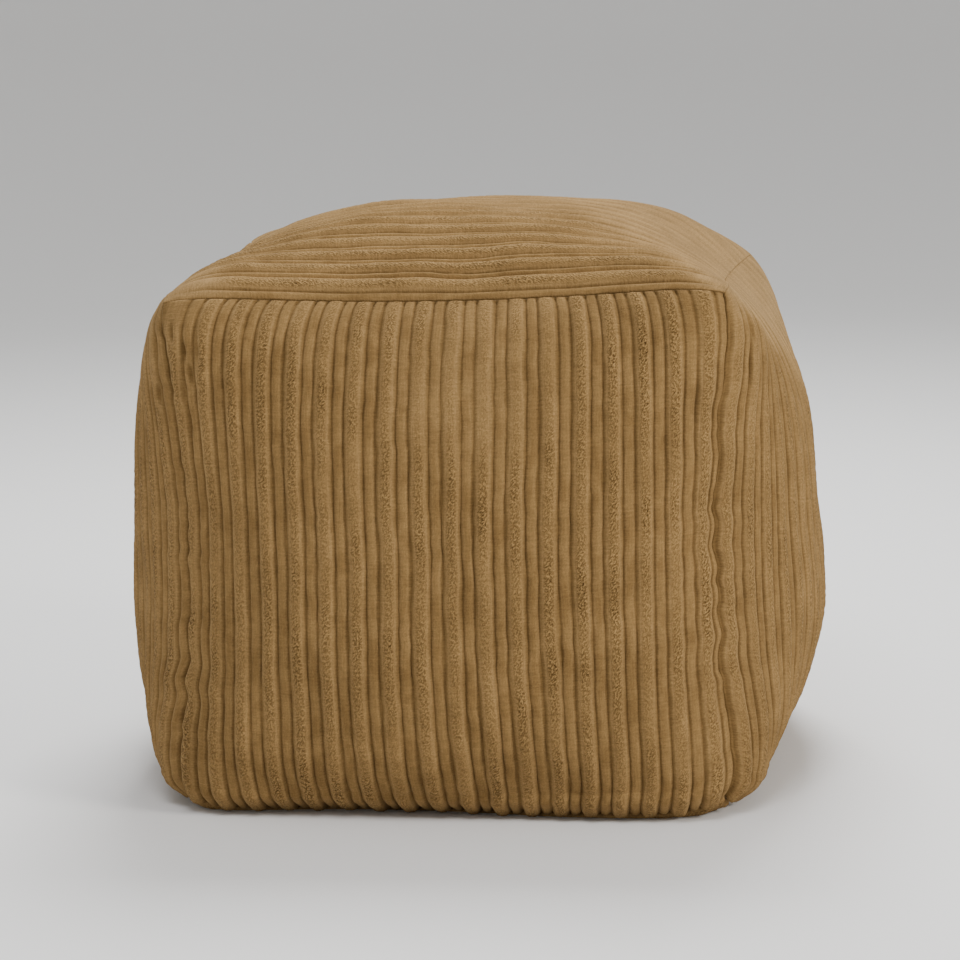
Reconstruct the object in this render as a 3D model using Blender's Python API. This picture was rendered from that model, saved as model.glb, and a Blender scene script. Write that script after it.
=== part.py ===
"""Bean bag footstool: a soft, well filled cube sewn from six square panels of jumbo corduroy.

Metres, +Z up, front towards -Y, origin at the middle of the flat base.

Each panel is one filled solid. Its outer face is the cloth: a patch stretched between the four
seams around it, swelled by the filling, with the cord's wide and narrow ribs raised on it. Behind
that face is the panel's share of the filling, which narrows to the middle of the cube. The six
solids stand a hair apart, so the seams are the narrow lines between them.
"""

import bpy
import numpy as np

# The box that the eight corners, where three panels meet, lie just inside of.
CORNER_REACH = 0.203
CORNER_TOP_Z = 0.376
CORNER_BASE_Z = 0.0065
MIDDLE_Z = 0.190
# Every corner is tucked in by this much along each axis, and the seams leave it in a short round.
CORNER_TUCK = 0.007
TUCK_POWER = 10
# A row for each corner that is not where the even cube has it: its side, and its shift.
CORNER_SHIFTS = [
    {"side": (-1, -1, 1), "shift": (-0.003, 0.004, -0.003)},
    {"side": (1, -1, 1), "shift": (0.000, 0.004, 0.003)},
    {"side": (-1, 1, 1), "shift": (0.000, -0.001, 0.005)},
    {"side": (1, 1, 1), "shift": (-0.003, -0.007, -0.008)},
]

# How far the filling's pull draws each seam in at its middle, from the line between its corners.
UPRIGHT_SEAM_DRAW = 0.016
TOP_SEAM_DRAW = 0.016
TOP_SEAM_SAG = 0.010
BASE_SEAM_DRAW = 0.002
BASE_SEAM_SAG = 0.002

# The cord: one narrow and one wide rib make a pair, and the pairs repeat across a panel.
PAIRS_ACROSS = 17.9
# A row for each point of one pair's section: its place in the pair, and its height over the grooves.
RIB_SECTION = [
    {"at": 0.000, "height": 0.0000},
    {"at": 0.190, "height": 0.0027},
    {"at": 0.385, "height": 0.0000},
    {"at": 0.490, "height": 0.0031},
    {"at": 0.692, "height": 0.0042},
    {"at": 0.895, "height": 0.0031},
]
# No rib point lies nearer a seam than this, in pairs, and the ribs taper over this share of a side.
SEAM_CLEAR = 0.06
RIB_END_TAPER = 0.018

# The ribs sway sideways towards the base, where the filling pushes the cloth over.
BASE_SWAY = 0.035

# Rows along the ribs, as shares of the way from the base end to the top end of a panel.
ROW_SHARES = (0.0, 0.022, 0.08, 0.19, 0.34, 0.5, 0.66, 0.81, 0.92, 0.978, 1.0)

# Half of the parting between two neighbouring solids, measured along each panel's own axis.
PARTING = 0.00022

# How much fuller than the plain product of the two powers a panel is near its corners.
CORNER_FULLNESS = 3.0
FULLNESS_POWER = 4

X_AXIS = np.array([1.0, 0.0, 0.0])
Y_AXIS = np.array([0.0, 1.0, 0.0])
Z_AXIS = np.array([0.0, 0.0, 1.0])

# A row for each panel. Across and along are the directions over and with its ribs, and their
# cross product points out of the panel. Swell is the crown, the two powers say how squarely it
# fills towards the seams, droop moves it towards the start of along, and groove is the place of
# the first groove from the seam, in pairs.
PANELS = [
    {"name": "front_panel", "across": X_AXIS, "along": Z_AXIS, "swell": 0.0545,
     "across_power": 2.3, "along_power": 3.4, "droop": 0.05, "groove": 0.72},
    {"name": "back_panel", "across": -X_AXIS, "along": Z_AXIS, "swell": 0.0545,
     "across_power": 2.3, "along_power": 3.2, "droop": 0.08, "groove": 0.30},
    {"name": "left_panel", "across": -Y_AXIS, "along": Z_AXIS, "swell": 0.0657,
     "across_power": 2.7, "along_power": 2.9, "droop": 0.05, "groove": 0.50},
    {"name": "right_panel", "across": Y_AXIS, "along": Z_AXIS, "swell": 0.0673,
     "across_power": 2.3, "along_power": 2.8, "droop": 0.03, "groove": 0.15},
    {"name": "top_panel", "across": Y_AXIS, "along": -X_AXIS, "swell": 0.0530,
     "across_power": 2.6, "along_power": 2.6, "droop": 0.0, "groove": 0.35},
    {"name": "base_panel", "across": Y_AXIS, "along": X_AXIS, "swell": 0.0450,
     "across_power": 2.6, "along_power": 2.6, "droop": 0.0, "groove": 0.50},
]

CORD_COLOUR = (0.235, 0.145, 0.062, 1.0)
CORD_ROUGHNESS = 0.95


def clear_scene():
    """Removes every object that is in the scene."""
    for item in list(bpy.data.objects):
        bpy.data.objects.remove(item, do_unlink=True)


def cord_material(name):
    """Returns a matt tan cloth material of its own for one panel."""
    material = bpy.data.materials.new(name)
    material.use_nodes = True
    shader = material.node_tree.nodes["Principled BSDF"]
    shader.inputs["Base Color"].default_value = CORD_COLOUR
    shader.inputs["Roughness"].default_value = CORD_ROUGHNESS
    shader.inputs["Metallic"].default_value = 0.0
    return material


def corner(signs):
    """Returns the corner of the cube on the given side of each axis, tucked in and shifted."""
    side = tuple(int(sign) for sign in signs)
    height = CORNER_TOP_Z if side[2] > 0 else CORNER_BASE_Z
    place = np.array([side[0] * CORNER_REACH, side[1] * CORNER_REACH, height])
    place = place - np.array(side) * CORNER_TUCK
    for row in CORNER_SHIFTS:
        if row["side"] == side:
            place = place + np.array(row["shift"])
    return place


def seam(start_signs, end_signs, way):
    """Points of the seam between two corners. It is the straight line between them, pushed out by
    the tuck times one minus a high power of way, which leaves the corners in a short round, and
    drawn in by a parabola. Way runs from -1 at the first corner to 1 at the second."""
    share = ((way + 1.0) / 2.0)[..., None]
    side = (start_signs + end_signs) / 2.0
    level = np.array([side[0], side[1], 0.0])
    shoulder = (1.0 - np.abs(way) ** TUCK_POWER)[..., None]
    line = corner(start_signs) * (1.0 - share) + corner(end_signs) * share
    line = line + shoulder * CORNER_TUCK * side
    bow = (1.0 - way ** 2)[..., None]
    if side[2] == 0.0:
        return line - bow * UPRIGHT_SEAM_DRAW * level
    if side[2] > 0.0:
        return line - bow * (TOP_SEAM_DRAW * level + TOP_SEAM_SAG * Z_AXIS)
    return line - bow * (BASE_SEAM_DRAW * level + BASE_SEAM_SAG * Z_AXIS)


def stretched_patch(panel, u, v):
    """The panel's cloth before it is swelled: the patch blended between its four seams, which is
    the two ruled surfaces added, less the flat one through the corners. U and v are -1 to 1."""
    across = panel["across"]
    along = panel["along"]
    out = np.cross(across, along)
    low_left = out - across - along
    low_right = out + across - along
    high_left = out - across + along
    high_right = out + across + along
    s = ((u + 1.0) / 2.0)[..., None]
    t = ((v + 1.0) / 2.0)[..., None]
    ruled = (1.0 - t) * seam(low_left, low_right, u) + t * seam(high_left, high_right, u)
    ruled = ruled + (1.0 - s) * seam(low_left, high_left, v) + s * seam(low_right, high_right, v)
    flat = (1.0 - s) * (1.0 - t) * corner(low_left) + s * (1.0 - t) * corner(low_right)
    flat = flat + (1.0 - s) * t * corner(high_left) + s * t * corner(high_right)
    return ruled - flat


def swelled_cloth(panel, u, v):
    """The stretched patch pushed out by the filling: swell times one minus a power of u, times
    one minus a power of v. The droop moves some of it, and the corners get more."""
    out = np.cross(panel["across"], panel["along"])
    crown = (1.0 - np.abs(u) ** panel["across_power"]) * (1.0 - np.abs(v) ** panel["along_power"])
    crown = crown * (1.0 + CORNER_FULLNESS * np.abs(u * v) ** FULLNESS_POWER)
    crown = crown * (1.0 - panel["droop"] * v) * panel["swell"]
    return stretched_patch(panel, u, v) + crown[..., None] * out


def cloth_normal(panel, u, v):
    """Unit normals of the swelled cloth, from the cross product of two short steps on it."""
    step = 0.01
    over = swelled_cloth(panel, u + step, v) - swelled_cloth(panel, u - step, v)
    with_rib = swelled_cloth(panel, u, v + step) - swelled_cloth(panel, u, v - step)
    normal = np.cross(over, with_rib)
    return normal / np.linalg.norm(normal, axis=-1, keepdims=True)


def rib_stations(panel):
    """Places in pairs, from seam to seam, of every point of the ribbed section, with heights.
    The first and last stations are the seams, and have no height."""
    places = [0.0]
    heights = [0.0]
    for pair in range(-1, int(PAIRS_ACROSS) + 1):
        for point in RIB_SECTION:
            place = pair + panel["groove"] + point["at"]
            if SEAM_CLEAR < place < PAIRS_ACROSS - SEAM_CLEAR:
                places.append(place)
                heights.append(point["height"])
    places.append(PAIRS_ACROSS)
    heights.append(0.0)
    return np.array(places), np.array(heights)


def station_parameters(panel, places):
    """Turns places along the cloth into u, so that the ribs keep an even pitch on the cloth and
    not on the straight line between the seams."""
    fine = np.linspace(-1.0, 1.0, 401)
    section = swelled_cloth(panel, fine, np.zeros_like(fine))
    steps = np.linalg.norm(np.diff(section, axis=0), axis=1)
    length = np.concatenate([[0.0], np.cumsum(steps)])
    return np.interp(places / PAIRS_ACROSS * length[-1], length, fine)


def panel_face(panel):
    """The panel's outer face as a grid of points, a column for each rib station and a row for
    each share along the ribs. Heights taper to nothing at the seams."""
    places, heights = rib_stations(panel)
    columns = station_parameters(panel, places)
    rows = np.array(ROW_SHARES) * 2.0 - 1.0
    u, v = np.meshgrid(columns, rows, indexing="ij")
    sway = BASE_SWAY * np.clip(-v, 0.0, 1.0) ** 2 * (1.0 - u ** 2)
    u = u + sway * abs(panel["along"][2])
    from_end = (1.0 - np.abs(v)) / 2.0
    from_side = (1.0 - np.abs(u)) / 2.0
    taper = np.clip(np.minimum(from_end, from_side) / RIB_END_TAPER, 0.0, 1.0)
    relief = heights[:, None] * np.sqrt(taper)
    return swelled_cloth(panel, u, v) + relief[..., None] * cloth_normal(panel, u, v)


def grid_faces(columns, rows):
    """Quads of a grid of points, each turned so that it faces out of the panel."""
    first = np.arange(columns - 1)[:, None] * rows + np.arange(rows - 1)[None, :]
    quads = np.stack([first, first + rows, first + rows + 1, first + 1], axis=-1)
    return [tuple(int(index) for index in quad) for quad in quads.reshape(-1, 4)]


def rim_loop(columns, rows):
    """Indices of the grid's rim, once round, with the panel's inside on the left."""
    bottom = [column * rows for column in range(columns)]
    right = [(columns - 1) * rows + row for row in range(1, rows)]
    top = [column * rows + rows - 1 for column in range(columns - 2, -1, -1)]
    left = [row for row in range(rows - 2, 0, -1)]
    return bottom + right + top + left


def build_panel(panel):
    """Makes one panel: its outer face, pressed flat where it would pass below the floor, and
    closed by flat gores from the rim to the cube's middle."""
    face = panel_face(panel)
    columns, rows = face.shape[:2]
    middle = np.array([[0.0, 0.0, MIDDLE_Z]])
    out = np.cross(panel["across"], panel["along"])
    points = np.concatenate([face.reshape(-1, 3), middle]) + out * PARTING
    points[:, 2] = np.maximum(points[:, 2], 0.0)
    tip = columns * rows
    rim = rim_loop(columns, rows)
    gores = [(rim[i - 1], tip, rim[i]) for i in range(len(rim))]
    mesh = bpy.data.meshes.new(panel["name"])
    mesh.from_pydata(points.tolist(), [], grid_faces(columns, rows) + gores)
    mesh.materials.append(cord_material(panel["name"] + "_cord"))
    mesh.shade_smooth()
    piece = bpy.data.objects.new(panel["name"], mesh)
    bpy.context.collection.objects.link(piece)
    return piece


def main():
    clear_scene()
    for panel in PANELS:
        build_panel(panel)


main()
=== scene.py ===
import math

import bpy
import numpy as np
from mathutils import Matrix, Vector


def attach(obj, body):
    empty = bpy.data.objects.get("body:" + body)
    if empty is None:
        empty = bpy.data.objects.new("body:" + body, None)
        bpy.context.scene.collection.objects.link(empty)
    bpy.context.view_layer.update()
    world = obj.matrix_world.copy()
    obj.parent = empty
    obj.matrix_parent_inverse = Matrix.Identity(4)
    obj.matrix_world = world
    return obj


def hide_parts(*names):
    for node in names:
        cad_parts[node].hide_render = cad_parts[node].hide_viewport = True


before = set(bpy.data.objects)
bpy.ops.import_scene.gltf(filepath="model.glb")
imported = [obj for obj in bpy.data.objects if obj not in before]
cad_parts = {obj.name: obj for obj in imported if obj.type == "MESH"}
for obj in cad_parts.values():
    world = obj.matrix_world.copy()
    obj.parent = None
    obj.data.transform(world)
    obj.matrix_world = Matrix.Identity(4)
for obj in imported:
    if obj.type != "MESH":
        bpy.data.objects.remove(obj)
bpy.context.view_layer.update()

# ---------------------------------------------------------------------------------------------
# Driving sizes, in metres. The panels follow the six solids they stand for, but for the crown of
# the top, which departs from its solid by up to 13 mm, and the base seam, which lies further in.
# ---------------------------------------------------------------------------------------------
CORNER_REACH = 0.203
CORNER_TOP_Z = 0.376
CORNER_BASE_Z = 0.0065
MIDDLE = np.array([0.0, 0.0, 0.190])
CORNER_TUCK = 0.007
TUCK_POWER = 10
CORNER_SHIFTS = [
    {"side": (-1, -1, 1), "shift": (-0.003, 0.004, -0.002)},
    {"side": (1, -1, 1), "shift": (0.000, 0.004, 0.003)},
    {"side": (-1, 1, 1), "shift": (-0.008, -0.005, 0.004)},
    {"side": (1, 1, 1), "shift": (-0.002, -0.009, -0.012)},
    {"side": (-1, -1, -1), "shift": (-0.001, 0.000, 0.000)},
    {"side": (1, -1, -1), "shift": (0.001, 0.000, 0.002)},
]
UPRIGHT_SEAM_DRAW = 0.016
TOP_SEAM_DRAW = 0.016
TOP_SEAM_SAG = 0.010
BASE_SEAM_DRAW = 0.002
BASE_SEAM_SAG = 0.002
CORNER_FULLNESS = 3.0
FULLNESS_POWER = 4

X_AXIS = np.array([1.0, 0.0, 0.0])
Y_AXIS = np.array([0.0, 1.0, 0.0])
Z_AXIS = np.array([0.0, 0.0, 1.0])

# A row for each panel. Across and along run over and with its ribs, and their cross product
# points out. Swell is the crown, the powers say how squarely it fills, droop moves it towards
# the start of along, groove is the first groove's place in pairs, slim is the narrow rib's share of
# a pair, rows is the fineness, rib_scale raises the ribs and wander is how far they stray.
PANELS = [
    {"node": "front_panel", "across": X_AXIS, "along": Z_AXIS, "swell": 0.0545,
     "across_power": 2.3, "along_power": 3.4, "droop": 0.05, "groove": 0.67,
     "slim": 0.385, "rows": 268, "rib_scale": 1.0, "wander": 0.005},
    {"node": "back_panel", "across": -X_AXIS, "along": Z_AXIS, "swell": 0.0545,
     "across_power": 2.3, "along_power": 3.2, "droop": 0.08, "groove": 0.30,
     "slim": 0.385, "rows": 190, "rib_scale": 1.0, "wander": 0.005},
    {"node": "left_panel", "across": -Y_AXIS, "along": Z_AXIS, "swell": 0.0657,
     "across_power": 2.7, "along_power": 2.9, "droop": 0.05, "groove": 0.50,
     "slim": 0.385, "rows": 210, "rib_scale": 1.0, "wander": 0.005},
    {"node": "right_panel", "across": Y_AXIS, "along": Z_AXIS, "swell": 0.0673,
     "across_power": 2.3, "along_power": 2.8, "droop": 0.03, "groove": 0.70,
     "slim": 0.385, "rows": 250, "rib_scale": 1.0, "wander": 0.005},
    {"node": "top_panel", "across": Y_AXIS, "along": -X_AXIS, "swell": 0.0560,
     "across_power": 2.0, "along_power": 2.6, "droop": 0.0, "groove": 0.99,
     "slim": 0.300, "rows": 268, "rib_scale": 1.25, "wander": 0.011},
    {"node": "base_panel", "across": Y_AXIS, "along": X_AXIS, "swell": 0.0450,
     "across_power": 2.6, "along_power": 2.6, "droop": 0.0, "groove": 0.50,
     "slim": 0.385, "rows": 120, "rib_scale": 1.0, "wander": 0.005},
]

# The cord. A pair is one narrow rib and then one wide rib.
PAIRS_ACROSS = 17.9
WIDE_HEIGHT = 0.0036
NARROW_HEIGHT = 0.0021
# Places of the mesh columns over one rib, closest together in the grooves.
NARROW_COLUMNS = (0.0, 0.06, 0.16, 0.32, 0.50, 0.68, 0.84, 0.94)
WIDE_COLUMNS = (0.0, 0.035, 0.09, 0.17, 0.27, 0.39, 0.50, 0.61, 0.73, 0.83, 0.91, 0.965)
RIB_END_LENGTH = 0.0028
RIB_SIDE_LENGTH = 0.0018
BASE_SWAY = 0.017
# How far single ribs stray, as shares of half a panel, and the lengths in metres over which they
# do: a bend that neighbours share, a long and a short one of each rib's own, and one on the top.
SHARED_STRAY_CELL = 0.05
LONG_STRAY = 0.0030
LONG_STRAY_CELL = 0.022
SHORT_STRAY = 0.0028
SHORT_STRAY_CELL = 0.009
TOP_STRAY = 0.007
TOP_STRAY_CELLS = (0.030, 0.022)
# The ribs run straight where the panel widens towards its corners, so the outermost one spreads.
RIB_STRAIGHTEN = 0.055
# Near its top seam the front panel's ribs lean towards a place right of its middle.
TOP_LEAN = 0.045
TOP_LEAN_TO = 0.10
TOP_LEAN_REACH = 0.09
# How much fuller and flatter the ribs get along their length, each alone and with its neighbours.
RIB_FULLNESS = 0.14
RIB_FULLNESS_CELL = 0.035
SHARED_FULLNESS = 0.22
SHARED_FULLNESS_CELLS = (0.038, 0.045)
# Where the pile stands in patches: the share that is so, and the patches' sizes, in the same way.
PATCH_MIDDLE = 0.5
RIB_PATCH = 0.35
RIB_PATCH_CELL = 0.022
SHARED_PATCH = 0.30
SHARED_PATCH_CELLS = (0.045, 0.040)
# The upright ribs are fuller at the base and flatter under the top seam: how much, and the reach.
BASE_FULLER = 0.60
BASE_FULLER_REACH = 0.02
TOP_FLATTER = 0.50
TOP_FLATTER_REACH = 0.034
# The tufts of the pile: their size over and along the ribs, and their height everywhere, on every
# wide rib, and where the pile stands in a patch.
TUFT_CELLS = (0.0017, 0.0026)
TUFT_HEIGHT = 0.00005
WIDE_TUFT_HEIGHT = 0.00008
PATCH_TUFT_HEIGHT = 0.00030
# Lumps of the filling under the cloth, and how near a seam they fade out. The top has puffs too.
LUMP_HEIGHT = 0.0016
LUMP_CELLS = (0.055, 0.075)
LUMP_FADE = 0.04
PUFF_HEIGHT = 0.0016
PUFF_CELLS = (0.045, 0.038)
PUFF_FADE = 0.014

# How far the cloth dips into an upright or base seam and into a top seam, and its reach.
SEAM_SINK = 0.0022
TOP_SEAM_SINK = 0.0008
SEAM_SINK_REACH = 0.0030
# The upright seams are gathered: their cloth waves from side to side and dimples at the stitches.
# One value for each: back right, back left, front left and front right.
PUCKER_SWAY = (0.0018, 0.0018, 0.0022, 0.0023)
PUCKER_DENT = (0.0020, 0.0020, 0.0022, 0.0023)
PUCKER_REACH = (0.017, 0.017, 0.027, 0.022)
# The lengths of the long and short waves and of the dimples, and half the height they run over.
PUCKER_LONG_CELL = 0.017
PUCKER_SHORT_CELL = 0.0085
PUCKER_DENT_CELL = 0.0095
PUCKER_HALF_HEIGHT = 0.19
# The stitches of a top seam pull in the end of every groove: how deep, how far from the seam, and
# its reach.
STITCH_DIMPLE = 0.0017
STITCH_PLACE = 0.0026
STITCH_REACH = 0.0019
# The seam round the base lies under the footstool, and the panels roll over it.
BASE_SEAM_INSET = 0.0085
BASE_SEAM_DROP = 0.0030
BASE_CORNER_INSET = 0.0052
# The front edge of the base stands forward right of its middle and back left of it.
BASE_SKEW = 0.0100
BASE_ROLL = 0.0045
BASE_ROLL_SHARE = 0.10

# Over the right side's top seam the cloth is stretched smooth, so its fold is filled out: the rise
# at the middle, how much more it is towards the back, and its reach.
EASE_RISE = 0.0025
EASE_MORE = 0.0026
EASE_REACH = 0.030

# Places where the filling stands out more or less: panel, place over and along the ribs from
# -1 to 1, reach and height.
LUMPS = [
    {"node": "top_panel", "u": 0.74, "v": -0.85, "reach": 0.60, "height": 0.0240},
    {"node": "top_panel", "u": 0.78, "v": 0.45, "reach": 0.34, "height": -0.0015},
    {"node": "top_panel", "u": 0.35, "v": 0.03, "reach": 0.21, "height": 0.0034},
    {"node": "top_panel", "u": 0.55, "v": -0.88, "reach": 0.22, "height": 0.0042},
    {"node": "right_panel", "u": 1.00, "v": 0.88, "reach": 0.60, "height": 0.0035},
]
# Short creases pressed in between ribs: panel, place, half their width and length, and depth.
CREASES = [
    ("front_panel", -0.955, 0.880, 0.008, 0.040, 0.0030),
    ("front_panel", -0.915, 0.805, 0.008, 0.030, 0.0034),
    ("front_panel", -0.900, 0.715, 0.009, 0.040, 0.0034),
    ("front_panel", -0.860, 0.820, 0.007, 0.060, 0.0022),
    ("front_panel", -0.985, 0.735, 0.008, 0.050, 0.0030),
    ("front_panel", -0.940, 0.640, 0.008, 0.040, 0.0026),
    ("front_panel", -0.930, 0.520, 0.008, 0.040, 0.0020),
    ("left_panel", 0.945, 0.620, 0.009, 0.040, 0.0034),
    ("left_panel", 0.960, 0.815, 0.009, 0.040, 0.0030),
    ("left_panel", 0.900, 0.700, 0.009, 0.030, 0.0026),
    ("left_panel", 0.900, 0.500, 0.010, 0.040, 0.0024),
    ("right_panel", -0.865, 0.840, 0.010, 0.050, 0.0032),
    ("right_panel", -0.890, 0.690, 0.010, 0.060, 0.0030),
    ("right_panel", -0.745, 0.630, 0.010, 0.060, 0.0026),
]
# Places where the cloth is stretched and its ribs nearly vanish: panel, place, reach and how much
# of the ribs is lost.
SMOOTH_PLACES = [
    {"node": "top_panel", "u": 0.40, "v": -1.00, "reach": (1.15, 0.56), "loss": 0.98},
    {"node": "right_panel", "u": 0.40, "v": 1.00, "reach": (1.15, 0.36), "loss": 0.98},
    {"node": "top_panel", "u": -0.80, "v": -1.00, "reach": (0.32, 0.14), "loss": 0.96},
    {"node": "right_panel", "u": -0.80, "v": 1.00, "reach": (0.32, 0.12), "loss": 0.96},
    {"node": "front_panel", "u": 0.10, "v": 0.66, "reach": (0.34, 0.26), "loss": 0.35},
    {"node": "front_panel", "u": -0.98, "v": 1.00, "reach": (0.10, 0.10), "loss": 0.80},
    {"node": "top_panel", "u": -0.98, "v": 1.00, "reach": (0.26, 0.22), "loss": 0.88},
    {"node": "top_panel", "u": 0.60, "v": 1.00, "reach": (0.80, 0.20), "loss": 0.60},
    {"node": "top_panel", "u": 0.60, "v": 0.10, "reach": (0.80, 1.60), "loss": 0.36},
    {"node": "left_panel", "u": 0.60, "v": 1.00, "reach": (0.70, 0.35), "loss": 0.65},
]

# The crest value, and so the shade, of cloth whose ribs are lost.
SMOOTH_CREST = 0.53
# The painted shade at the end of each groove by a seam, where the stitches pull it in: its reach
# from the seam.
STITCH_SHADE_REACH = 0.0038
# How much darker a rib is where it rounds down at its ends and at the side seams.
END_SHADE = 0.3
SIDE_SHADE = 0.7
# How far the shade of smooth cloth goes to the crest value above, and how much of its patches it
# loses.
SMOOTH_SHADE = 0.9
SMOOTH_PATCH_LOSS = 0.7
# A crease this deep gets the most painted shade, and how much that is.
DARK_CREASE = 0.0024
CREASE_SHADE = 0.92


def soft_noise(x, y, cell_x, cell_y, seed):
    """A smooth random field from -1 to 1: random values on a lattice of the given cells, with a
    smoothstep blend between the four lattice points around each place."""
    size = 256
    lattice = np.random.default_rng(seed).uniform(-1.0, 1.0, (size, size))
    across = x / cell_x + size / 2
    along = y / cell_y + size / 2
    column = np.floor(across).astype(int)
    row = np.floor(along).astype(int)
    s = across - column
    t = along - row
    s = s * s * (3.0 - 2.0 * s)
    t = t * t * (3.0 - 2.0 * t)
    near = lattice[column % size, row % size] * (1.0 - s)
    near = near + lattice[(column + 1) % size, row % size] * s
    far = lattice[column % size, (row + 1) % size] * (1.0 - s)
    far = far + lattice[(column + 1) % size, (row + 1) % size] * s
    return near * (1.0 - t) + far * t


# ---------------------------------------------------------------------------------------------
# The filled cube: corners, seams and swelled cloth
# ---------------------------------------------------------------------------------------------
def corner(signs):
    """The corner of the cube on the given side of each axis, tucked in and shifted."""
    side = tuple(int(sign) for sign in signs)
    height = CORNER_TOP_Z if side[2] > 0 else CORNER_BASE_Z
    place = np.array([side[0] * CORNER_REACH, side[1] * CORNER_REACH, height])
    place = place - np.array(side) * CORNER_TUCK
    for row in CORNER_SHIFTS:
        if row["side"] == side:
            place = place + np.array(row["shift"])
    return place


def seam(start_signs, end_signs, way):
    """Points of a seam: the line between its corners, pushed out by the tuck times one minus a
    high power of way, and drawn in by a parabola. Way is -1 to 1."""
    share = ((way + 1.0) / 2.0)[..., None]
    side = (start_signs + end_signs) / 2.0
    level = np.array([side[0], side[1], 0.0])
    shoulder = (1.0 - np.abs(way) ** TUCK_POWER)[..., None]
    line = corner(start_signs) * (1.0 - share) + corner(end_signs) * share
    line = line + shoulder * CORNER_TUCK * side
    bow = (1.0 - way ** 2)[..., None]
    if side[2] == 0.0:
        return line - bow * UPRIGHT_SEAM_DRAW * level
    if side[2] > 0.0:
        return line - bow * (TOP_SEAM_DRAW * level + TOP_SEAM_SAG * Z_AXIS)
    return line - bow * (BASE_SEAM_DRAW * level + BASE_SEAM_SAG * Z_AXIS)


def stretched_patch(panel, u, v):
    """The patch blended between the panel's four seams: two ruled surfaces, less the flat one."""
    across = panel["across"]
    along = panel["along"]
    out = np.cross(across, along)
    low_left = out - across - along
    low_right = out + across - along
    high_left = out - across + along
    high_right = out + across + along
    s = ((u + 1.0) / 2.0)[..., None]
    t = ((v + 1.0) / 2.0)[..., None]
    ruled = (1.0 - t) * seam(low_left, low_right, u) + t * seam(high_left, high_right, u)
    ruled = ruled + (1.0 - s) * seam(low_left, high_left, v) + s * seam(low_right, high_right, v)
    flat = (1.0 - s) * (1.0 - t) * corner(low_left) + s * (1.0 - t) * corner(low_right)
    flat = flat + (1.0 - s) * t * corner(high_left) + s * t * corner(high_right)
    return ruled - flat


def seam_ease(panel, u, v):
    """The rise that fills out the fold over the right side's top seam: it fades by an exponential
    from the seam, and by a power of u towards the seam's ends."""
    rise = (EASE_RISE + EASE_MORE * u) * (1.0 - u ** 6)
    if panel["node"] == "top_panel":
        return rise * np.exp(-(1.0 + v) * CORNER_REACH / EASE_REACH)
    if panel["node"] == "right_panel":
        return rise * np.exp(-(1.0 - v) * CORNER_REACH / EASE_REACH)
    return rise * 0.0


def base_skew(panel, u, v):
    """How far the front edge of the base is moved back: a sine of the way along it, less towards
    its corners, which fades up the front panel and across the base by the square of the nearness to
    the edge."""
    if panel["node"] == "front_panel":
        way = u
        near = np.clip(1.0 - (v + 1.0) / (1.6 * BASE_ROLL_SHARE), 0.0, 1.0)
    elif panel["node"] == "base_panel":
        way = v
        near = np.clip(-0.5 - u, 0.0, 0.5) * 2.0
    else:
        return np.zeros_like(u)
    return -BASE_SKEW * np.sin(math.pi * (way - 0.2)) * (1.0 - way ** 4) * near ** 2


def swelled_cloth(panel, u, v):
    """The patch pushed out by the filling: swell times one minus a power of u, times one minus a
    power of v, with more near the corners."""
    out = np.cross(panel["across"], panel["along"])
    crown = (1.0 - np.abs(u) ** panel["across_power"]) * (1.0 - np.abs(v) ** panel["along_power"])
    crown = crown * (1.0 + CORNER_FULLNESS * np.abs(u * v) ** FULLNESS_POWER)
    crown = crown * (1.0 - panel["droop"] * v) * panel["swell"]
    for row in LUMPS:
        if row["node"] == panel["node"]:
            off = ((u - row["u"]) ** 2 + (v - row["v"]) ** 2) / row["reach"] ** 2
            crown = crown + row["height"] * np.exp(-off) * (1.0 - u ** 4) * (1.0 - v ** 4)
    points = stretched_patch(panel, u, v)
    points = points + seam_ease(panel, u, v)[..., None] * (X_AXIS + Z_AXIS) / math.sqrt(2.0)
    points = points + base_skew(panel, u, v)[..., None] * Y_AXIS
    if panel["along"][2] > 0.5:
        roll = np.clip((v + 1.0) / BASE_ROLL_SHARE, 0.0, 1.0)
        shoulder = 1.0 - np.abs(u) ** TUCK_POWER
        crown = crown + BASE_ROLL * 16.0 * (roll * (1.0 - roll)) ** 2 * shoulder
        under = shoulder * (1.0 - roll) ** 2
        points = points - under[..., None] * (BASE_SEAM_INSET * out + BASE_SEAM_DROP * Z_AXIS)
        pinch = BASE_CORNER_INSET * (1.0 - shoulder) * (1.0 - roll) ** 2
        points = points - pinch[..., None] * out - (pinch * np.sign(u))[..., None] * panel["across"]
    if out[2] < -0.5:
        over_u = np.sign(u) * np.abs(u) ** 3 * (1.0 - np.abs(v) ** TUCK_POWER)
        over_v = np.sign(v) * np.abs(v) ** 3 * (1.0 - np.abs(u) ** TUCK_POWER)
        inset = over_u[..., None] * panel["across"] + over_v[..., None] * panel["along"]
        drop = np.maximum(np.abs(over_u), np.abs(over_v))
        points = points - BASE_SEAM_INSET * inset - (BASE_SEAM_DROP * drop)[..., None] * Z_AXIS
        pinch = BASE_CORNER_INSET * np.abs(u * v) ** TUCK_POWER
        points = points - (pinch * np.sign(u))[..., None] * panel["across"]
        points = points - (pinch * np.sign(v))[..., None] * panel["along"]
    return points + crown[..., None] * out


def cloth_normal(panel, u, v):
    """Unit normals of the swelled cloth, from the cross product of two short steps on it."""
    step = 0.01
    over = swelled_cloth(panel, u + step, v) - swelled_cloth(panel, u - step, v)
    with_rib = swelled_cloth(panel, u, v + step) - swelled_cloth(panel, u, v - step)
    normal = np.cross(over, with_rib)
    return normal / np.linalg.norm(normal, axis=-1, keepdims=True)


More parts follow.
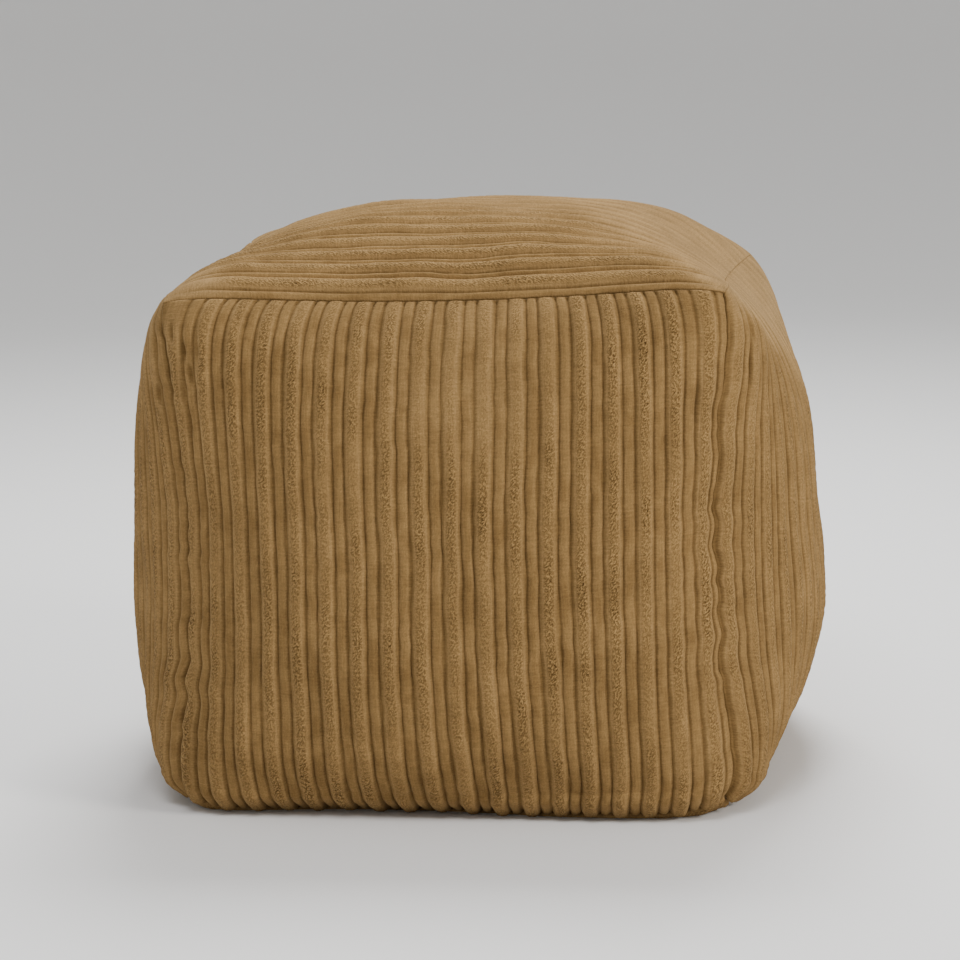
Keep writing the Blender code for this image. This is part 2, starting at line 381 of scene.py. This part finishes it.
def cloth_length(panel, over_ribs):
    """Lengths along the middle section of the cloth, at 401 even steps from seam to seam."""
    fine = np.linspace(-1.0, 1.0, 401)
    still = np.zeros_like(fine)
    section = swelled_cloth(panel, fine, still) if over_ribs else swelled_cloth(panel, still, fine)
    steps = np.linalg.norm(np.diff(section, axis=0), axis=1)
    return fine, np.concatenate([[0.0], np.cumsum(steps)])


# ---------------------------------------------------------------------------------------------
# The cord's ribs
# ---------------------------------------------------------------------------------------------
def rib_columns(panel):
    """Every mesh column from seam to seam: its place in pairs, whether its rib is wide, its place
    over that rib from 0 to 1, and the rib's number."""
    rows = []
    slim = panel["slim"]
    for pair in range(-1, int(PAIRS_ACROSS) + 1):
        start = pair + panel["groove"]
        for x in NARROW_COLUMNS:
            rows.append((start + x * slim, 0.0, x, 2 * pair))
        for x in WIDE_COLUMNS:
            rows.append((start + slim + x * (1.0 - slim), 1.0, x, 2 * pair + 1))
    table = np.array(rows)
    inside = (table[:, 0] > 0.03) & (table[:, 0] < PAIRS_ACROSS - 0.03)
    table = table[inside]
    first = np.array([[0.0, table[0, 1], 0.0, table[0, 3]]])
    last = np.array([[PAIRS_ACROSS, table[-1, 1], 0.0, table[-1, 3]]])
    return np.concatenate([first, table, last])


def rib_height(wide, x):
    """A rib's rounded section: its height times a power of one minus a power of the way from its
    middle, so that it is broad on top and steep into the grooves."""
    off = np.abs(2.0 * x - 1.0)
    broad = WIDE_HEIGHT * (1.0 - off ** 2.5) ** 0.88
    slim = NARROW_HEIGHT * (1.0 - off ** 2.2) ** 0.85
    return np.where(wide > 0.5, broad, slim)


def rib_loss(panel, u, v):
    """How much of the ribs is lost where the cloth is stretched smooth, from 0 to 1."""
    kept = np.ones_like(u)
    for row in SMOOTH_PLACES:
        if row["node"] == panel["node"]:
            off = ((u - row["u"]) / row["reach"][0]) ** 2 + ((v - row["v"]) / row["reach"][1]) ** 2
            kept = kept * (1.0 - row["loss"] * np.exp(-off ** 2))
    return 1.0 - kept


def crease_depth(panel, u, v):
    """How far the short creases press the cloth in: a bell over and along the ribs for each."""
    depth = np.zeros_like(u)
    for node, middle_u, middle_v, width, length, deep in CREASES:
        if node == panel["node"]:
            off = ((u - middle_u) / width) ** 2 + ((v - middle_v) / length) ** 2
            depth = depth + deep * np.exp(-off)
    return depth


def seam_gathers(panel, u, v, from_side):
    """The gathers along a panel's upright seams: a sway along the seam's own sideways direction
    and a dent into the corner, both fading from the seam. Both panels of a seam give the same."""
    total = np.zeros(u.shape + (3,))
    if panel["along"][2] < 0.5:
        return total
    out = np.cross(panel["across"], panel["along"])
    for sign in (-1.0, 1.0):
        diagonal = out + sign * panel["across"]
        quarter = int(round(math.degrees(math.atan2(diagonal[1], diagonal[0])) / 90.0 - 0.5)) % 4
        sideways = np.array([-diagonal[1], diagonal[0], 0.0]) / math.sqrt(2.0)
        height = v * PUCKER_HALF_HEIGHT
        still = np.zeros_like(height)
        sway = soft_noise(still, height, 1.0, PUCKER_LONG_CELL, 40 + quarter)
        sway = sway + 0.6 * soft_noise(still, height, 1.0, PUCKER_SHORT_CELL, 50 + quarter)
        dent = 0.5 + 0.5 * soft_noise(still, height, 1.0, PUCKER_DENT_CELL, 60 + quarter)
        fade = np.exp(-from_side / PUCKER_REACH[quarter])
        near = fade * np.where(sign * u > 0.0, 1.0, 0.0)
        near = near * (1.0 - v ** 8)
        total = total + (PUCKER_SWAY[quarter] * sway * near)[..., None] * sideways
        dip = PUCKER_DENT[quarter] * dent ** 2 * near * fade
        total = total - dip[..., None] * diagonal / math.sqrt(2.0)
    return total


def strayed_ribs(panel, u, v, number, across_m, along_m, seed):
    """Places over the ribs once they have swayed by a square towards the base, strayed by soft
    noise over the cloth and along each rib, and run straight where the panel widens. On the front
    panel they also lean in near the top seam. All of it fades out at the side seams."""
    upright = abs(panel["along"][2])
    sway = BASE_SWAY * np.clip(-v, 0.0, 1.0) ** 2 * upright
    cell = SHARED_STRAY_CELL
    wander = panel["wander"] * soft_noise(across_m, along_m, cell, cell, seed)
    wander = wander + LONG_STRAY * soft_noise(number, along_m, 1.0, LONG_STRAY_CELL, seed + 1)
    short = soft_noise(number * 1.3, along_m, 1.0, SHORT_STRAY_CELL, seed + 6)
    wander = wander + SHORT_STRAY * short
    if panel["node"] == "top_panel":
        wander = wander + TOP_STRAY * soft_noise(across_m, along_m, *TOP_STRAY_CELLS, seed + 9)
    fade_power = 2 if upright > 0.5 else 10
    u = u + (sway + wander) * (1.0 - u ** fade_power)
    u = u * (1.0 - RIB_STRAIGHTEN * v ** 2 * (1.0 - u ** 10))
    if panel["node"] == "front_panel":
        lean = TOP_LEAN * (TOP_LEAN_TO - u) * np.exp((v - 1.0) / TOP_LEAN_REACH)
        u = u + lean * (1.0 - u ** 8)
    return u


def round_end(distance, length):
    """A quarter circle from 0 at a seam to 1 at the given length from it."""
    way = np.clip(distance / length, 0.0, 1.0)
    return np.sqrt(1.0 - (1.0 - way) ** 2)


def seam_sink(panel, from_side, from_end, along_m):
    """How far the cloth dips towards the middle at its seams: an exponential from each."""
    at_side = SEAM_SINK * np.exp(-from_side / SEAM_SINK_REACH)
    at_top = TOP_SEAM_SINK * np.exp(-from_end / SEAM_SINK_REACH)
    at_base = SEAM_SINK * np.exp(-along_m / SEAM_SINK_REACH)
    if panel["node"] == "base_panel":
        return at_side * 0.0
    if panel["node"] == "top_panel":
        return np.maximum(TOP_SEAM_SINK / SEAM_SINK * np.maximum(at_side, at_base), at_top)
    return np.maximum(at_side, at_top)


def panel_points(panel, seed):
    """The panel's outer face as grids: points, place on the cloth in metres, crest, wide and patch.
    A point is the swelled cloth's, raised along its normal by the ribs, tufts and lumps, pressed in
    by the creases, moved by the gathers, and sunk towards the middle at the seams."""
    columns = rib_columns(panel)
    fine, over = cloth_length(panel, True)
    u_line = np.interp(columns[:, 0] / PAIRS_ACROSS * over[-1], over, fine)
    fine, with_rib = cloth_length(panel, False)
    v_line = np.interp(np.linspace(0.0, with_rib[-1], panel["rows"]), with_rib, fine)
    u, v = np.meshgrid(u_line, v_line, indexing="ij")
    wide, _ = np.meshgrid(columns[:, 1], v_line, indexing="ij")
    x, _ = np.meshgrid(columns[:, 2], v_line, indexing="ij")
    number, _ = np.meshgrid(columns[:, 3], v_line, indexing="ij")
    across_m = np.interp(u, fine, over)
    along_m = np.interp(v, fine, with_rib)
    upright = abs(panel["along"][2])
    u = strayed_ribs(panel, u, v, number, across_m, along_m, seed)

    from_end = np.clip(np.minimum(along_m, with_rib[-1] - along_m), 0.0, None)
    from_side = np.clip(np.minimum(across_m, over[-1] - across_m), 0.0, None)
    end_round = round_end(from_end, RIB_END_LENGTH)
    side_round = round_end(from_side, RIB_SIDE_LENGTH)

    loss = rib_loss(panel, u, v)
    height = rib_height(wide, x)
    crest = height / np.where(wide > 0.5, WIDE_HEIGHT, NARROW_HEIGHT)
    own = soft_noise(number * 3.7, along_m, 1.0, RIB_FULLNESS_CELL, seed + 2)
    fullness = 1.0 + RIB_FULLNESS * own
    shared = soft_noise(across_m, along_m, *SHARED_FULLNESS_CELLS, seed + 7)
    fullness = fullness + SHARED_FULLNESS * shared
    own = soft_noise(number * 5.1, along_m, 1.0, RIB_PATCH_CELL, seed + 3)
    patch = PATCH_MIDDLE + RIB_PATCH * own
    patch = patch + SHARED_PATCH * soft_noise(across_m, along_m, *SHARED_PATCH_CELLS, seed + 8)
    patch = np.clip(patch, 0.0, 1.0)
    tufts = soft_noise(across_m, along_m, *TUFT_CELLS, seed + 4)
    tuft_height = TUFT_HEIGHT + wide * (WIDE_TUFT_HEIGHT + PATCH_TUFT_HEIGHT * patch)
    tufts = tufts * crest ** 3 * tuft_height
    relief = height * fullness * panel["rib_scale"] + tufts
    relief = relief * end_round * side_round * (1.0 - loss)
    if upright > 0.5:
        relief = relief * (1.0 + BASE_FULLER * np.exp(-along_m / BASE_FULLER_REACH))
        flatter = TOP_FLATTER * np.exp(-(with_rib[-1] - along_m) / TOP_FLATTER_REACH)
        relief = relief * (1.0 - flatter)
    lumps = LUMP_HEIGHT * soft_noise(across_m, along_m, *LUMP_CELLS, seed + 5)
    lumps = lumps * np.clip(np.minimum(from_end, from_side) / LUMP_FADE, 0.0, 1.0)
    if panel["node"] == "top_panel":
        puffs = PUFF_HEIGHT * soft_noise(across_m, along_m, *PUFF_CELLS, seed + 11)
        lumps = lumps + puffs * np.clip(from_side / PUFF_FADE, 0.0, 1.0) * (1.0 - loss)
    pressed = crease_depth(panel, u, v)
    from_top = with_rib[-1] - along_m
    dimple = STITCH_DIMPLE * np.exp(-((from_top - STITCH_PLACE) / STITCH_REACH) ** 2)
    dimple = dimple * np.clip(1.0 - crest, 0.0, 1.0) ** 2 * upright * (1.0 - loss)

    points = swelled_cloth(panel, u, v)
    points = points + (relief + lumps - pressed - dimple)[..., None] * cloth_normal(panel, u, v)
    points = points + seam_gathers(panel, u, v, from_side)
    inward = MIDDLE - points
    inward = inward / np.linalg.norm(inward, axis=-1, keepdims=True)
    sink = seam_sink(panel, from_side, from_end, along_m) * (1.0 - loss)
    points = points + sink[..., None] * inward

    if panel["node"] == "top_panel":
        # On the top every rib gets less of the painted groove shade and somewhat fewer tufts; the
        # back half of each wide rib and the front half of each narrow rib get less shade still and
        # far fewer tufts.
        away = np.where(wide > 0.5, x > 0.5, x < 0.5)
        crest = np.where(away, 0.5 + 0.5 * crest, crest) ** 0.6
        patch = patch * np.where(away, 0.35, 0.95)
    # Painted shade at the ends of the grooves by the top and base seams of the upright panels.
    stitch_shade = np.exp(-(from_end / STITCH_SHADE_REACH) ** 2) * np.where(crest < 0.50, 1.0, 0.0)
    stitch_shade = stitch_shade * upright * (1.0 - loss)
    end_shade = END_SHADE * (1.0 - end_round) * (1.0 - loss)
    side_shade = SIDE_SHADE * (1.0 - side_round) * (1.0 - loss)
    crest = crest * (1.0 - end_shade) * (1.0 - side_shade) * (1.0 - stitch_shade)
    crest = crest + (SMOOTH_CREST - crest) * SMOOTH_SHADE * loss
    # Painted shade in the creases.
    crest = crest * (1.0 - np.clip(pressed / DARK_CREASE, 0.0, CREASE_SHADE))
    return points, across_m, along_m, crest, wide, patch * (1.0 - SMOOTH_PATCH_LOSS * loss)


def grid_faces(columns, rows):
    """Quads of a grid of points, each turned so that it faces out of the panel."""
    first = np.arange(columns - 1)[:, None] * rows + np.arange(rows - 1)[None, :]
    return np.stack([first, first + rows, first + rows + 1, first + 1], axis=-1).reshape(-1, 4)


def rim_loop(columns, rows):
    """Indices of the grid's rim, once round."""
    bottom = np.arange(columns) * rows
    right = (columns - 1) * rows + np.arange(1, rows)
    top = np.arange(columns - 2, -1, -1) * rows + rows - 1
    left = np.arange(rows - 2, 0, -1)
    return np.concatenate([bottom, right, top, left])


def add_attribute(mesh, name, values):
    """Stores one number for each point of a mesh."""
    layer = mesh.attributes.new(name, "FLOAT", "POINT")
    layer.data.foreach_set("value", np.ascontiguousarray(values, dtype=np.float32))


def build_panel(panel, material, seed):
    """One panel: its ribbed face and the gores that close it towards the cube's middle."""
    face, across_m, along_m, crest, wide, patch = panel_points(panel, seed)
    columns, rows = face.shape[:2]
    out = np.cross(panel["across"], panel["along"])
    points = np.concatenate([face.reshape(-1, 3), (MIDDLE + out * 0.001)[None, :]])
    points[:, 2] = np.maximum(points[:, 2], 0.0)
    rim = rim_loop(columns, rows)
    tip = columns * rows
    quads = grid_faces(columns, rows)
    gores = np.stack([np.roll(rim, 1), np.full_like(rim, tip), rim], axis=-1)

    mesh = bpy.data.meshes.new(panel["node"] + "_cord")
    mesh.vertices.add(len(points))
    mesh.vertices.foreach_set("co", points.ravel().astype(np.float32))
    corners = np.concatenate([quads.ravel(), gores.ravel()])
    mesh.loops.add(len(corners))
    mesh.loops.foreach_set("vertex_index", corners.astype(np.int32))
    starts = np.concatenate([np.arange(len(quads)) * 4, len(quads) * 4 + np.arange(len(gores)) * 3])
    mesh.polygons.add(len(quads) + len(gores))
    mesh.polygons.foreach_set("loop_start", starts.astype(np.int32))
    mesh.update(calc_edges=True)
    mesh.validate()
    rounded = np.arange(len(quads) + len(gores)) < len(quads)
    mesh.polygons.foreach_set("use_smooth", rounded)

    spread = np.stack([across_m.ravel(), along_m.ravel()], axis=-1)
    spread = np.concatenate([spread, [[0.0, 0.0]]])
    layer = mesh.uv_layers.new(name="cloth")
    layer.data.foreach_set("uv", spread[corners].ravel().astype(np.float32))
    add_attribute(mesh, "crest", np.append(crest.ravel(), 0.0))
    add_attribute(mesh, "wide", np.append(wide.ravel(), 0.0))
    add_attribute(mesh, "patch", np.append(patch.ravel(), 0.0))
    mesh.materials.append(material)

    piece = bpy.data.objects.new(panel["node"].replace("_panel", "_cord_panel"), mesh)
    bpy.context.collection.objects.link(piece)
    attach(piece, "root")
    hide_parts(panel["node"])
    return piece


# ---------------------------------------------------------------------------------------------
# Materials
# ---------------------------------------------------------------------------------------------
def value_node(tree, name):
    """A node that reads one of the cloth's point attributes."""
    node = tree.nodes.new("ShaderNodeAttribute")
    node.attribute_name = name
    return node.outputs["Fac"]


def math_node(tree, kind, first, second):
    """One sum on two numbers, either of which may be a socket."""
    node = tree.nodes.new("ShaderNodeMath")
    node.operation = kind
    for socket, given in zip(node.inputs, (first, second)):
        if isinstance(given, (int, float)):
            socket.default_value = given
        else:
            tree.links.new(given, socket)
    return node.outputs[0]


def noise_node(tree, vector, scale, detail, stretch=(1.0, 1.0, 1.0), turn=0.0, twist=0.0):
    """Noise on the cloth's own map, drawn out by the stretch along a direction turned on it."""
    mapping = tree.nodes.new("ShaderNodeMapping")
    mapping.vector_type = "TEXTURE"
    mapping.inputs["Scale"].default_value = stretch
    mapping.inputs["Rotation"].default_value = (0.0, 0.0, turn)
    tree.links.new(vector, mapping.inputs["Vector"])
    noise = tree.nodes.new("ShaderNodeTexNoise")
    noise.noise_dimensions = "2D"
    noise.inputs["Scale"].default_value = scale
    noise.inputs["Detail"].default_value = detail
    noise.inputs["Roughness"].default_value = 0.6
    noise.inputs["Distortion"].default_value = twist
    tree.links.new(mapping.outputs["Vector"], noise.inputs["Vector"])
    return noise.outputs["Fac"]


def ramp_node(tree, factor, stops):
    """A colour ramp with the given (place, colour) stops."""
    node = tree.nodes.new("ShaderNodeValToRGB")
    ramp = node.color_ramp
    while len(ramp.elements) < len(stops):
        ramp.elements.new(0.5)
    for element, (place, colour) in zip(ramp.elements, stops):
        element.position = place
        element.color = (*colour, 1.0)
    tree.links.new(factor, node.inputs["Fac"])
    return node.outputs["Color"]


def mix_node(tree, kind, factor, first, second):
    """Mixes two colours, either of which may be a socket."""
    node = tree.nodes.new("ShaderNodeMix")
    node.data_type = "RGBA"
    node.blend_type = kind
    for name, given in (("Factor", factor), ("A", first), ("B", second)):
        socket = [s for s in node.inputs if s.name == name and s.enabled][0]
        if isinstance(given, (int, float)):
            socket.default_value = given
        elif isinstance(given, tuple):
            socket.default_value = (*given, 1.0)
        else:
            tree.links.new(given, socket)
    return [s for s in node.outputs if s.enabled][0]


def shaded_by(tree, base, factor, noise, low, high):
    """The base colour multiplied, by the factor, with a tone that runs over the noise from the low
    to the high (place, colour) stop."""
    return mix_node(tree, "MULTIPLY", factor, base, ramp_node(tree, noise, [low, high]))


# The cloth's colours from the bottom of a groove to the top of a rib: painted shade in the groove
# and on the flank, a painted sheen on the rim, and the cloth's own tan on top.
CORD_GROOVE_SHADE = (0.145, 0.083, 0.028)
CORD_FLANK_SHADE = (0.190, 0.115, 0.044)
CORD_RIM_SHEEN = (0.278, 0.172, 0.070)
CORD_TOP = (0.256, 0.156, 0.060)


def corduroy_material():
    """Plush tan jumbo corduroy: painted shade in the grooves, a painted sheen as a lighter rim up
    the sides of each rib, smooth on the narrow ribs, and on the wide ribs a short pile in wormy
    tufts with small dark pits between them, which comes and goes in patches. Faint threads cross it
    all."""
    material = bpy.data.materials.new("jumbo_corduroy")
    material.use_nodes = True
    tree = material.node_tree
    shader = tree.nodes["Principled BSDF"]
    cloth = tree.nodes.new("ShaderNodeUVMap")
    cloth.uv_map = "cloth"
    vector = cloth.outputs["UV"]
    crest = value_node(tree, "crest")
    wide = value_node(tree, "wide")
    patch = value_node(tree, "patch")

    # The rib's section as painted shade in the grooves and a painted sheen up the rims, with a
    # ragged edge to each band, and worn patches as light as a rib's top.
    section = [(0.0, CORD_GROOVE_SHADE), (0.44, CORD_FLANK_SHADE), (0.72, CORD_RIM_SHEEN), (0.92, CORD_TOP)]
    fringe = math_node(tree, "SUBTRACT", noise_node(tree, vector, 620.0, 2.0, (1.6, 0.8, 1.0)), 0.5)
    fringed = math_node(tree, "ADD", crest, math_node(tree, "MULTIPLY", fringe, 0.55))
    base = ramp_node(tree, fringed, section)
    worn_noise = noise_node(tree, vector, 38.0, 2.0)
    worn = ramp_node(tree, worn_noise, [(0.45, (0.0, 0.0, 0.0)), (0.80, (0.5, 0.5, 0.5))])
    base = mix_node(tree, "MIX", worn, base, CORD_TOP)
    lower = math_node(tree, "SUBTRACT", 1.0, wide)
    lower = math_node(tree, "MULTIPLY", lower, 0.6)
    base = mix_node(tree, "MULTIPLY", lower, base, (0.86, 0.85, 0.825))

    # Broad soft changes of tone, and smaller blotches that show most on the narrow ribs.
    broad = noise_node(tree, vector, 20.0, 3.0)
    base = shaded_by(tree, base, 1.0, broad,
                     (0.32, (0.89, 0.88, 0.86)), (0.68, (1.07, 1.07, 1.07)))
    blotch = noise_node(tree, vector, 62.0, 2.0, (1.0, 1.5, 1.0))
    low_down = math_node(tree, "SUBTRACT", 1.15, math_node(tree, "MULTIPLY", wide, 0.75))
    base = shaded_by(tree, base, low_down, blotch,
                     (0.36, (0.84, 0.82, 0.79)), (0.56, (1.02, 1.02, 1.02)))

    # The pile: wormy tufts and small dark pits on top of the wide ribs, most where a patch stands.
    on_top = ramp_node(tree, crest, [(0.74, (0.0, 0.0, 0.0)), (0.95, (1.0, 1.0, 1.0))])
    on_wide = math_node(tree, "MULTIPLY", on_top, math_node(tree, "MAXIMUM", wide, 0.15))
    standing = math_node(tree, "ADD", math_node(tree, "MULTIPLY", patch, 0.75), 0.32)
    tuft_mask = math_node(tree, "MULTIPLY", on_wide, standing)
    tuft_noise = noise_node(tree, vector, 820.0, 0.0, (1.55, 0.9, 1.0), 1.0, 0.3)
    tufts = ramp_node(tree, tuft_noise, [(0.34, (0.0, 0.0, 0.0)), (0.66, (1.0, 1.0, 1.0))])
    tuft_stops = [(0.0, (0.60, 0.56, 0.50)), (0.45, (0.98, 0.98, 0.97)), (1.0, (1.30, 1.30, 1.29))]
    base = mix_node(tree, "MULTIPLY", tuft_mask, base, ramp_node(tree, tufts, tuft_stops))
    pit_noise = noise_node(tree, vector, 640.0, 0.0, (1.2, 0.9, 1.0), 0.7, 0.0)
    pitted = math_node(tree, "MULTIPLY", tuft_mask, patch)
    base = shaded_by(tree, base, pitted, pit_noise,
                     (0.27, (0.42, 0.37, 0.30)), (0.37, (1.0, 1.0, 1.0)))

    # Fine grain, threads across the ribs, and pile combed along them where there are no tufts.
    grain = noise_node(tree, vector, 900.0, 2.0, (1.3, 0.9, 1.0), 0.95)
    grained = math_node(tree, "MAXIMUM", tuft_mask, 0.75)
    base = shaded_by(tree, base, grained, grain,
                     (0.34, (0.88, 0.87, 0.84)), (0.66, (1.12, 1.12, 1.12)))
    threads = noise_node(tree, vector, 420.0, 1.0, (4.5, 0.65, 1.0), 0.0)
    base = shaded_by(tree, base, 1.0, threads,
                     (0.36, (0.93, 0.93, 0.92)), (0.64, (1.06, 1.06, 1.06)))
    combed = noise_node(tree, vector, 520.0, 1.0, (0.55, 14.0, 1.0), 0.0)
    smooth = math_node(tree, "SUBTRACT", 1.0, tuft_mask)
    base = shaded_by(tree, base, smooth, combed,
                     (0.36, (0.93, 0.92, 0.91)), (0.64, (1.06, 1.06, 1.06)))
    tree.links.new(base, shader.inputs["Base Color"])

    relief = math_node(tree, "ADD", tufts, math_node(tree, "MULTIPLY", grain, 0.4))
    relief = math_node(tree, "MULTIPLY", relief, tuft_mask)
    relief = math_node(tree, "ADD", relief, math_node(tree, "MULTIPLY", threads, 0.25))
    relief = math_node(tree, "ADD", relief, math_node(tree, "MULTIPLY", grain, 0.25))
    bump = tree.nodes.new("ShaderNodeBump")
    bump.inputs["Strength"].default_value = 1.0
    bump.inputs["Distance"].default_value = 0.0009
    tree.links.new(relief, bump.inputs["Height"])
    tree.links.new(bump.outputs["Normal"], shader.inputs["Normal"])

    shader.inputs["Roughness"].default_value = 0.95
    shader.inputs["Specular IOR Level"].default_value = 0.08
    shader.inputs["Sheen Weight"].default_value = 0.15
    shader.inputs["Sheen Roughness"].default_value = 0.45
    shader.inputs["Sheen Tint"].default_value = (1.0, 0.70, 0.34, 1.0)
    return material


def plain_material(name, colour, roughness):
    """A plain matt studio surface."""
    material = bpy.data.materials.new(name)
    material.use_nodes = True
    shader = material.node_tree.nodes["Principled BSDF"]
    shader.inputs["Base Color"].default_value = (*colour, 1.0)
    shader.inputs["Roughness"].default_value = roughness
    return material


# ---------------------------------------------------------------------------------------------
# Studio
# ---------------------------------------------------------------------------------------------
# The camera's turn about the footstool, its rise, roll and distance, how far it is moved sideways,
# the height it looks at, and its lens.
VIEW_TURN = math.radians(7.41)
VIEW_RISE = math.radians(9.43)
VIEW_ROLL = math.radians(-1.19)
VIEW_DISTANCE = 2.546
VIEW_SHIFT = 0.0018
VIEW_HEIGHT = 0.2088
LENS = 125.7
SENSOR = 36.0
# A row for each soft light: its name, place, the point it is aimed at, its side, power and colour.
LIGHTS = [
    ("key", (2.15, -1.15, 1.35), (0.0, 0.0, 0.2), 0.7, 42.0, (1.0, 0.97, 0.93)),
    ("fill", (-1.6, -2.0, 0.9), (0.0, 0.0, 0.2), 1.6, 2.5, (1.0, 0.99, 0.97)),
    ("front", (-0.1, -1.5, 2.5), (0.0, 0.0, 0.25), 1.0, 29.0, (0.98, 0.99, 1.03)),
    ("over", (0.0, 1.1, 2.1), (0.0, 0.0, 0.2), 1.0, 63.0, (0.98, 0.99, 1.0)),
]
WORLD_COLOUR = (0.97, 0.97, 0.98, 1.0)
WORLD_STRENGTH = 0.52
FLOOR_COLOUR = (0.83, 0.825, 0.81)
# The floor is level out to one radius, and curves up by another into the backdrop.
FLOOR_LEVEL = 2.8
FLOOR_CURVE = 2.6
BACKDROP_RISE = 1.5
FLOOR_TURNS = 96


def add_camera():
    """The camera, turned a little to the right side of the footstool and looking slightly down."""
    across = Vector((math.cos(VIEW_TURN), math.sin(VIEW_TURN), 0.0))
    ahead = Vector((-math.sin(VIEW_TURN), math.cos(VIEW_TURN), 0.0))
    rise = Vector((0.0, 0.0, 1.0))
    forward = ahead * math.cos(VIEW_RISE) - rise * math.sin(VIEW_RISE)
    up = ahead * math.sin(VIEW_RISE) + rise * math.cos(VIEW_RISE)
    place = -VIEW_SHIFT * across - VIEW_DISTANCE * forward + rise * VIEW_HEIGHT
    right = across * math.cos(VIEW_ROLL) + up * math.sin(VIEW_ROLL)
    top = up * math.cos(VIEW_ROLL) - across * math.sin(VIEW_ROLL)
    data = bpy.data.cameras.new("view")
    data.lens = LENS
    data.sensor_width = SENSOR
    camera = bpy.data.objects.new("view", data)
    turn = Matrix((right, top, -forward)).transposed().to_4x4()
    camera.matrix_world = Matrix.Translation(place) @ turn
    bpy.context.collection.objects.link(camera)
    bpy.context.scene.camera = camera


def add_light(name, place, target, size, power, colour):
    """A square soft light at a place, aimed at a target."""
    data = bpy.data.lights.new(name, "AREA")
    data.shape = "SQUARE"
    data.size = size
    data.energy = power
    data.color = colour
    light = bpy.data.objects.new(name, data)
    light.location = place
    light.rotation_euler = (Vector(target) - Vector(place)).to_track_quat("-Z", "Y").to_euler()
    bpy.context.collection.objects.link(light)


def add_floor():
    """A pale floor, level under the footstool and curving up into a backdrop all round it: rings
    of points whose section is a level line and then a quarter circle."""
    turns = FLOOR_TURNS
    bend = np.linspace(0.0, math.pi / 2.0, 17)
    curved = FLOOR_LEVEL + FLOOR_CURVE * np.sin(bend)
    radii = np.concatenate([[0.6, 1.4, 2.1], curved, [FLOOR_LEVEL + FLOOR_CURVE]])
    raised = FLOOR_CURVE * (1.0 - np.cos(bend))
    heights = np.concatenate([[0.0, 0.0, 0.0], raised, [FLOOR_CURVE + BACKDROP_RISE]])
    angles = np.arange(turns) * 2.0 * math.pi / turns
    ring = np.stack([np.cos(angles), np.sin(angles)], axis=-1)
    points = np.zeros((len(radii), turns, 3))
    points[:, :, :2] = radii[:, None, None] * ring[None]
    points[:, :, 2] = heights[:, None]
    here = np.arange(len(radii) - 1)[:, None] * turns + np.arange(turns)[None, :]
    after = np.arange(len(radii) - 1)[:, None] * turns + (np.arange(turns)[None, :] + 1) % turns
    quads = np.stack([here, here + turns, after + turns, after], axis=-1).reshape(-1, 4)
    middle = len(radii) * turns
    fan = [(middle, int(i), int((i + 1) % turns)) for i in range(turns)]
    mesh = bpy.data.meshes.new("floor")
    mesh.from_pydata(points.reshape(-1, 3).tolist() + [(0.0, 0.0, 0.0)], [], quads.tolist() + fan)
    mesh.shade_smooth()
    mesh.materials.append(plain_material("pale_floor", FLOOR_COLOUR, 0.7))
    floor = bpy.data.objects.new("floor", mesh)
    bpy.context.collection.objects.link(floor)


def add_world():
    """Even pale light from all round."""
    world = bpy.data.worlds.new("studio")
    world.use_nodes = True
    background = world.node_tree.nodes["Background"]
    background.inputs["Color"].default_value = WORLD_COLOUR
    background.inputs["Strength"].default_value = WORLD_STRENGTH
    bpy.context.scene.world = world


def main():
    """The camera, the six panels, the floor and the light."""
    add_camera()
    corduroy = corduroy_material()
    for number, panel in enumerate(PANELS):
        build_panel(panel, corduroy, 100 * (number + 1))
    add_floor()
    add_world()
    for row in LIGHTS:
        add_light(*row)


main()
